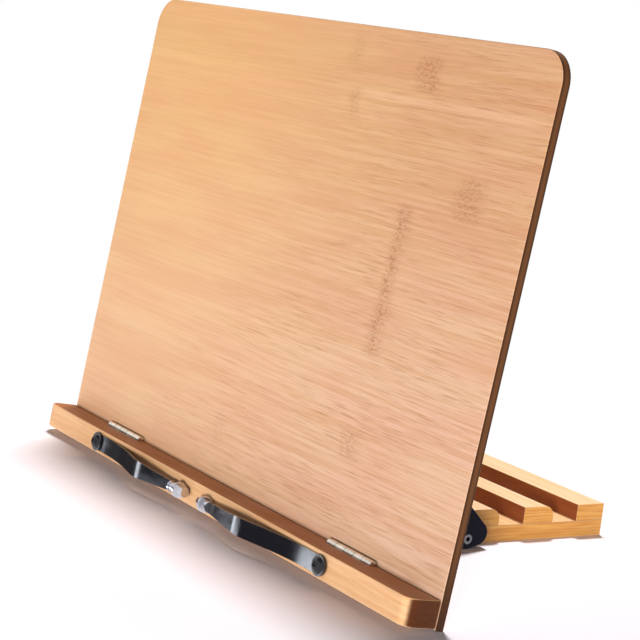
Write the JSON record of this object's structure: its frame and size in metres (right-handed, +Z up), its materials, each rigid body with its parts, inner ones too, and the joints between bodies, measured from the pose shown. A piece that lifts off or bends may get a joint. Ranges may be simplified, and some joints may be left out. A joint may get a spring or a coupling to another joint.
{
  "type": "book stand",
  "caption": "Bamboo book stand with a folding front ledge, swinging page clips, and a slotted rear foot that takes the bar of a steel strut.",
  "frame": {"origin": "centre of the foot's underside, on the desk", "axes": "+X to the reader's right along the board's width, +Y from the reader to the back, +Z up"},
  "size_m": [0.34, 0.2074, 0.2383],
  "materials": {
    "board_bamboo": "satin lacquered bamboo, grain along the width",
    "ledge_bamboo": "satin lacquered bamboo",
    "foot_bamboo": "satin lacquered bamboo",
    "bright_steel": "bright nickel plate",
    "black_steel": "glossy black coat on spring steel",
    "chrome_knob": "polished chrome",
    "black_screw": "black oxide",
    "navy_plastic": "moulded, dark navy",
    "hinge_steel": "satin steel"
  },
  "bodies": {
    "board": {"board": "board_bamboo", "ledge_hinge_board_screws": "bright_steel", "foot_hinge_board_screws": "hinge_steel", "strut_bracket_screws": "hinge_steel", "ledge_hinge_board_leaf_left": "bright_steel", "ledge_hinge_board_leaf_right": "bright_steel", "ledge_hinge_pin_left": "bright_steel", "ledge_hinge_pin_right": "bright_steel", "foot_hinge_board_leaf_left": "hinge_steel", "foot_hinge_board_leaf_right": "hinge_steel", "foot_hinge_pin_left": "hinge_steel", "foot_hinge_pin_right": "hinge_steel", "strut_bracket_left": "black_steel", "strut_bracket_right": "black_steel", "strut_pivot_pin_left": "hinge_steel", "strut_pivot_pin_right": "hinge_steel"},
    "ledge": {"ledge": "ledge_bamboo", "ledge_hinge_ledge_screws": "bright_steel", "ledge_hinge_ledge_leaf_left": "bright_steel", "ledge_hinge_ledge_leaf_right": "bright_steel", "clip_screw_left": "black_screw", "clip_screw_right": "black_screw", "clip_washer_left": "black_screw", "clip_washer_right": "black_screw"},
    "clip_left": {"clip_spring_left": "black_steel", "clip_knob_left": "chrome_knob"},
    "clip_right": {"clip_spring_right": "black_steel", "clip_knob_right": "chrome_knob"},
    "foot": {"foot_base": "foot_bamboo", "foot_front_plate": "foot_bamboo", "foot_rail_1": "foot_bamboo", "foot_rail_2": "foot_bamboo", "foot_rail_3": "foot_bamboo", "foot_hinge_foot_screws": "hinge_steel", "foot_hinge_foot_leaf_left": "hinge_steel", "foot_hinge_foot_leaf_right": "hinge_steel"},
    "strut": {"strut_bar": "chrome_knob", "strut_arm_left": "black_steel", "strut_arm_right": "black_steel", "strut_shoe_left": "navy_plastic", "strut_shoe_right": "navy_plastic", "strut_eyelet_left": "chrome_knob", "strut_eyelet_right": "chrome_knob"}
  },
  "joints": [
    {"name": "ledge_fold", "type": "hinge", "parent": "board", "child": "ledge", "pos_m": [0, -0.09533, 0.01359], "axis": [-1, 0, 0], "range_deg": [0, 90]},
    {"name": "clip_left_swing", "type": "hinge", "parent": "ledge", "child": "clip_left", "pos_m": [-0.1065, -0.11015, 0.00919], "axis": [0, -0.9932, 0.1167], "range_deg": [0, 180]},
    {"name": "clip_right_swing", "type": "hinge", "parent": "ledge", "child": "clip_right", "pos_m": [0.1065, -0.11015, 0.00919], "axis": [0, 0.9932, -0.1167], "range_deg": [0, 180]},
    {"name": "foot_fold", "type": "hinge", "parent": "board", "child": "foot", "pos_m": [0, -0.08524, 0.019], "axis": [1, 0, 0], "range_deg": [-6.6, 0]},
    {"name": "strut_swing", "type": "hinge", "parent": "board", "child": "strut", "pos_m": [0, -0.07091, 0.09037], "axis": [1, 0, 0], "range_deg": [0, 130]}
  ]
}
